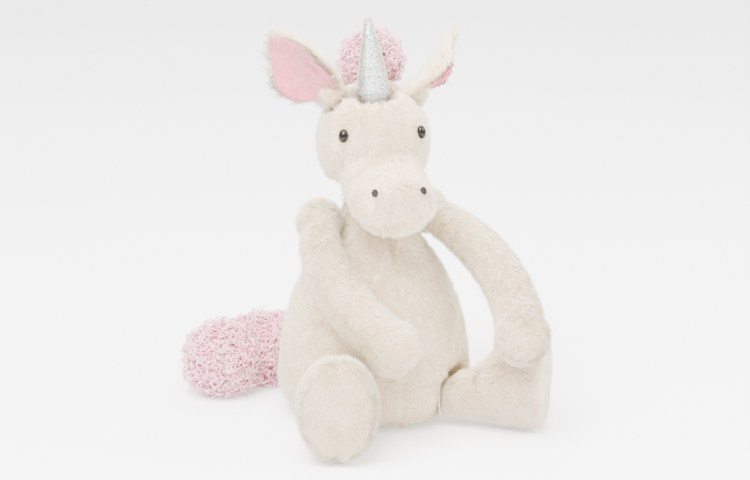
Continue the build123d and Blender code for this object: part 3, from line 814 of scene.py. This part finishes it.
def turned_grid(profile, rings_round, bulge):
    """Closed surface of revolution: profile rows are (radius, height); bulge adds to the radius."""
    angle = np.linspace(0, 2 * math.pi, rings_round, endpoint=False)
    radius = profile[:, :1] + bulge(angle[None, :], profile[:, 1:])
    shape = np.stack([radius * np.cos(angle), radius * np.sin(angle),
                      np.broadcast_to(profile[:, 1:], radius.shape)], 2)
    rows = len(profile)
    points = np.concatenate([shape.reshape(-1, 3), [[0, 0, profile[0, 1]], [0, 0, profile[-1, 1]]]])
    k, c = np.meshgrid(np.arange(rows - 1), np.arange(rings_round), indexing="ij")
    nxt = (c + 1) % rings_round
    quads = np.stack([k * rings_round + c, k * rings_round + nxt, (k + 1) * rings_round + nxt,
                      (k + 1) * rings_round + c], 2).reshape(-1, 4)
    ring = np.arange(rings_round)
    low = np.stack([ring, np.full(rings_round, rows * rings_round), (ring + 1) % rings_round], 1)
    top = (rows - 1) * rings_round
    high = np.stack([top + ring, top + (ring + 1) % rings_round,
                     np.full(rings_round, rows * rings_round + 1)], 1)
    return points, quads.tolist() + low.tolist() + high.tolist()


def stood_up(points, base, way):
    """Turn a form made round +Z so that it stands on base along way, both in the head's frame."""
    side = unit(np.cross(way, [0.0, 1.0, 0.0]))
    front = np.cross(way, side)
    return from_head(points @ np.stack([side, front, way]) + base)


height = np.concatenate([np.linspace(-8, 0, 6), np.linspace(1.5, HORN_LENGTH - 1.5, 60),
                         [HORN_LENGTH - 0.6, HORN_LENGTH]])
cone = np.interp(height, [-8, 0, HORN_LENGTH - 1.5, HORN_LENGTH - 0.6, HORN_LENGTH],
                 [8.4, HORN_RADIUS, HORN_TIP + 1.0, HORN_TIP + 0.5, HORN_TIP * 0.6])
cone = cone + 0.9 * np.sin(np.clip(height / HORN_LENGTH, 0, 1) * math.pi)


def horn_bulge(angle, along):
    """A slightly flattened round with soft hoops."""
    dent = -0.35 * np.cos(2 * angle + 0.6) * np.clip(1 - along / HORN_LENGTH, 0, 1)
    return dent + 0.10 * np.sin(along * 0.9 + 2 * angle) * np.clip(along / 8, 0, 1)


horn_profile = np.stack([cone, height], 1)
points, faces = turned_grid(horn_profile, 96, horn_bulge)
points = stood_up(points, HORN_BASE, HORN_WAY)
horn_shell = object_from("horn_shell", points, faces)
print("horn", len(faces), "faces")

# %% [markdown]
# Lamé is knitted from flat metal-coated film yarn, so it glitters in tiny facets that turn from silver
# to mint, pink and gold. Cells about as large as a stitch carry those tints in their colour, partly the
# film's own tints and partly painted glints: the near-white and dark grey cells are painted light and
# shade of facets turned to the lamps and away from them. Each cell also tips the surface its own way.

# %% Horn finish
STITCH = 0.9  # real stitches are half as large, too fine to show
lame, tree, shader = material("silver iridescent lame knit", Metallic=0.75, Roughness=0.34)
place = node(tree, "ShaderNodeTexCoord")
stitches = node(tree, "ShaderNodeTexVoronoi", links={"Vector": place.outputs["Object"]},
                Scale=1 / (STITCH * MM))
split = node(tree, "ShaderNodeSeparateColor", links={"Color": stitches.outputs["Color"]})
# cell colours: the film's own tints, with painted glints in the near-white and dark grey cells
tint = ramp(tree, split.outputs["Red"], [(0.0, "#5E6468"), (0.25, "#8F979C"), (0.42, "#86B8AE"),
                                         (0.58, "#B4BABE"), (0.74, "#B98DA6"), (0.87, "#AF9662"),
                                         (1.0, "#E4E8EA")])
tree.links.new(tint, shader.inputs["Base Color"])
rough = node(tree, "ShaderNodeMapRange", links={"Value": split.outputs["Green"]})
rough.inputs["To Min"].default_value, rough.inputs["To Max"].default_value = 0.22, 0.5
tree.links.new(rough.outputs["Result"], shader.inputs["Roughness"])
bumped(tree, shader, stitches.outputs["Distance"], 0.5, 0.7)
horn_shell.data.materials.append(lame)
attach(horn_shell, "horn")
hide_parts("horn_cover", "horn_stuffing")

# %% [markdown]
# The horn's cloth is cut as two leaves, and their raw edges show as a thin gold-brown line down either
# side. Each line is a cord of six sides that follows the cone's profile.

# %% Horn seams
seam_edge, tree, shader = material("gold brown overlocked edge", Roughness=0.5)
place = node(tree, "ShaderNodeTexCoord")
thread = node(tree, "ShaderNodeTexWave", {"bands_direction": "Z"}, {"Vector": place.outputs["Object"]},
              Scale=1 / (0.7 * MM * 6.283))
tree.links.new(ramp(tree, thread.outputs["Color"], [(0.2, "#8E744A"), (0.8, "#D8C59C")]),
               shader.inputs["Base Color"])
bumped(tree, shader, thread.outputs["Color"], 0.2, 0.6)


def cord_along(line, radius, sides=6):
    """Closed tube carried along a line: each ring stands off the line by the radius."""
    ahead = unit(np.gradient(line, axis=0))
    across = unit(np.cross(ahead, [0.31, 0.17, 0.93]))
    up = np.cross(across, ahead)
    spin = (np.arange(sides) * 2 * math.pi / sides)[None, :, None]
    ring = line[:, None] + radius * (np.cos(spin) * across[:, None] + np.sin(spin) * up[:, None])
    rows = len(line)
    k, c = np.meshgrid(np.arange(rows - 1), np.arange(sides), indexing="ij")
    nxt = (c + 1) % sides
    quads = np.stack([k * sides + c, k * sides + nxt, (k + 1) * sides + nxt, (k + 1) * sides + c], 2)
    caps = [list(range(sides))[::-1], list(range((rows - 1) * sides, rows * sides))]
    return ring.reshape(-1, 3), quads.reshape(-1, 4).tolist() + caps


SEAM_CORD = 0.6  # radius of the raw edge
for name, angle in (("a", 0.10), ("b", 2.6)):  # angle round the horn from the toy's right
    rise = horn_profile[8:-1, 1]
    out = horn_profile[8:-1, 0] + horn_bulge(np.full(len(rise), angle), rise)
    line = np.stack([out * math.cos(angle), out * math.sin(angle), rise], 1)
    points, faces = cord_along(stood_up(line, HORN_BASE, HORN_WAY), SEAM_CORD)
    cord_piece = object_from(f"horn_seam_{name}", points, faces, finish=seam_edge)
    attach(cord_piece, "horn")

# %% [markdown]
# The eyes are turned domes of glossy black-brown plastic on a stem, pressed flat by the washer behind
# the cloth. A hard clear gloss gives the small bright window of light on each.

# %% Eyes
gloss_eye, tree, shader = material("moulded glossy eye plastic", Roughness=0.1, IOR=1.45,
                                   Specular_IOR_Level=0.32)
depth = ramp(tree, spots(tree, 1.6).outputs["Fac"], [(0.3, "#080505"), (0.7, "#150C08")])
tree.links.new(depth, shader.inputs["Base Color"])


def eye_middle(side):
    """Where the skull's spheroid lies at the eye, and the way out of it, in the head's frame."""
    x, z = (27.5 if side == "left" else -27.5), 41.5
    ring = SKULL_SIZE[0] * math.sqrt(1 - ((z - SKULL_MIDDLE[2]) / SKULL_SIZE[2]) ** 2)
    spot = np.array([x, SKULL_MIDDLE[1] - math.sqrt(ring**2 - x * x), z])
    return spot, unit((spot - SKULL_MIDDLE) / SKULL_SIZE**2)


EYE_WIDE, EYE_TALL, EYE_DOME = 3.5, 4.7, 3.0
t = np.linspace(0, math.pi / 2, 14)
dome = np.concatenate([[[0.30, -10.0], [0.40, -9.8], [0.40, -1.6], [0.92, -1.2], [1.0, -0.6]],
                       np.stack([np.cos(t), np.sin(t) * EYE_DOME], 1)[:-1]])
for side in ("left", "right"):
    spot, out = eye_middle(side)
    points, faces = turned_grid(dome, 32, lambda angle, along: 0 * angle * along)
    across = unit(np.cross([0.0, 0.0, 1.0], out))
    local = np.stack([points[:, 0] * EYE_WIDE, points[:, 1] * EYE_TALL, points[:, 2]], 1)
    points = from_head(local @ np.stack([across, np.cross(out, across), out]) + spot)
    eye = object_from(f"eye_gloss_{side}", points, faces, finish=gloss_eye)
    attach(eye, "head")
    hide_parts(f"eye_{side}")
print("eye dome", 2 * EYE_WIDE, "by", 2 * EYE_TALL, "mm")

# %% [markdown]
# Each nostril is a small oval of satin stitch: threads laid side by side across it. It is a low dome
# with a ridge for every thread.

# %% Nostrils
satin, tree, shader = material("dark satin stitch thread", Roughness=0.5, Specular_IOR_Level=0.2)
place = node(tree, "ShaderNodeTexCoord")
thread = node(tree, "ShaderNodeTexWave", {"bands_direction": "Z"}, {"Vector": place.outputs["Object"]},
              Scale=1 / (0.45 * MM * 6.283), Distortion=1.5)
thread_tone = ramp(tree, thread.outputs["Color"], [(0.2, "#100A0B"), (0.8, "#2A1F21")])
tree.links.new(thread_tone, shader.inputs["Base Color"])
bumped(tree, shader, thread.outputs["Color"], 0.15, 0.6)


def stitched_oval(half_wide, half_tall, proud):
    """Closed flattened dome whose height carries one ridge a thread, over a grid in polar form."""
    r, a = np.meshgrid(np.linspace(0.08, 1, 12), np.linspace(0, 2 * math.pi, 40, endpoint=False),
                       indexing="ij")
    x, y = half_wide * r * np.cos(a), half_tall * r * np.sin(a)
    ridge = 0.12 * np.sin(y * 2 * math.pi / 0.7)
    top = np.stack([x, y, proud * np.sqrt(1 - (r * 0.98) ** 2) + ridge * (1 - r**4)], 2)
    rim = np.stack([x[-1] * 0.9, y[-1] * 0.9, np.full(40, -1.5)], 1)
    points = np.concatenate([top.reshape(-1, 3), rim, [[0, 0, proud], [0, 0, -1.5]]])
    k, c = np.meshgrid(np.arange(12), np.arange(40), indexing="ij")
    nxt = (c + 1) % 40
    quads = np.stack([k * 40 + c, (k + 1) * 40 + c, (k + 1) * 40 + nxt, k * 40 + nxt], 2).reshape(-1, 4)
    ring = np.arange(40)
    middle = np.stack([np.full(40, 520), ring, (ring + 1) % 40], 1)
    under = np.stack([480 + (ring + 1) % 40, 480 + ring, np.full(40, 521)], 1)
    return points, quads.tolist() + middle.tolist() + under.tolist()


for side in ("left", "right"):
    corner = coordinates(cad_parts[f"nostril_{side}"].data)
    middle = in_head(corner).mean(0)
    out = unit(np.array([0.22 if side == "left" else -0.22, -0.9, 0.42]))
    across = unit(np.cross([0.0, 0.0, 1.0], out))
    points, faces = stitched_oval(2.2, 2.9, 1.3)
    points = from_head(points @ np.stack([across, np.cross(out, across), out]) + middle)
    stitch = object_from(f"nostril_satin_{side}", points, faces, finish=satin)
    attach(stitch, "head")
    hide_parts(f"nostril_{side}")
print("nostril at", middle.round(1))

# %% [markdown]
# The frame's own pieces that stay are hidden under the fur or in the joints: the bags of pellets, the
# washers, the stitching and the strip that the mane is sewn to. They get plain finishes of their own.

# %% Finishes of the pieces that stay
def woven_material(name, light, dark, thread_mm, roughness):
    """Plain weave: two crossed sets of threads in two tones, with relief."""
    made, tree, shader = material(name, Roughness=roughness)
    place = node(tree, "ShaderNodeTexCoord")
    sets = [node(tree, "ShaderNodeTexWave", {"bands_direction": way}, {"Vector": place.outputs["Object"]},
                 Scale=1 / (thread_mm * MM * 6.283)) for way in ("X", "Z")]
    both = mixed(tree, 0.5, sets[0].outputs["Color"], sets[1].outputs["Color"])
    tree.links.new(ramp(tree, both, [(0.2, dark), (0.8, light)]), shader.inputs["Base Color"])
    bumped(tree, shader, both, 0.1, 0.5)
    return made


washer_plastic, tree, shader = material("moulded polypropylene washer", Roughness=0.4)
tree.links.new(ramp(tree, spots(tree, 4).outputs["Fac"], [(0.3, "#DAD9D4"), (0.7, "#E8E7E3")]),
               shader.inputs["Base Color"])
fibre, tree, shader = material("white polyester fibre filling", Roughness=1.0)
tree.links.new(ramp(tree, spots(tree, 3, 6).outputs["Fac"], [(0.3, "#E3E2DE"), (0.7, "#F7F6F3")]),
               shader.inputs["Base Color"])
KEPT = {"pouch": woven_material("cotton pellet bag", "#F2EFE8", "#D9D3C6", 0.8, 0.9),
        "washer": washer_plastic,
        "stitching": woven_material("cream sewing thread", "#F1EADF", "#DCD2C2", 0.3, 0.6),
        "strip": woven_material("woven mane strip", "#F0C9CE", "#DDA3AC", 0.9, 0.9),
        "stuffing": fibre}
hidden = {each for pair in SOFT_BODIES.values() for each in (pair[1], *pair[2])}
for node_name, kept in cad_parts.items():
    for word, finish in KEPT.items():
        if word in node_name and node_name not in hidden:
            kept.data.materials.clear()
            kept.data.materials.append(finish)
print("kept pieces finished")

# %% [markdown]
# A white studio: a pale floor that runs out of sight, an even white sky, a large soft lamp above and
# in front, and a smaller one at the side, so the shadows are broad and faint.

# %% Floor and lights
floor_paint, tree, shader = material("matt white studio floor", Roughness=0.9, Emission_Strength=0.7)
shader.inputs["Emission Color"].default_value = linear("#FFFFFF")
tree.links.new(ramp(tree, spots(tree, 300).outputs["Fac"], [(0.3, "#F4F4F4"), (0.7, "#F8F8F8")]),
               shader.inputs["Base Color"])
FLOOR = 9000.0
floor = object_from("studio_floor", [(-FLOOR, -FLOOR, 0), (FLOOR, -FLOOR, 0), (FLOOR, FLOOR, 0),
                                     (-FLOOR, FLOOR, 0)], [(0, 1, 2, 3)], False)
floor.data.materials.append(floor_paint)

world = bpy.context.scene.world or bpy.data.worlds.new("studio")
bpy.context.scene.world = world
world.use_nodes = True
world.node_tree.nodes["Background"].inputs["Color"].default_value = linear("#FFFFFF")
world.node_tree.nodes["Background"].inputs["Strength"].default_value = 2.3
LAMPS = {  # name: (azimuth, elevation, distance m, size m, watts)
    "lamp_front": (-40, 55, 1.6, 1.2, 150.0), "lamp_side": (70, 35, 1.7, 0.9, 45.0),
    "lamp_back": (170, 60, 1.6, 1.0, 30.0)}
for name, (azimuth, elevation, distance, size, watts) in LAMPS.items():
    lamp = bpy.data.lights.new(name, "AREA")
    lamp.size, lamp.energy = size, watts
    place = LOOK_AT + towards_camera(math.radians(azimuth), math.radians(elevation)) * distance
    aimed(lamp, name, place, LOOK_AT)
print("lamps", list(LAMPS))
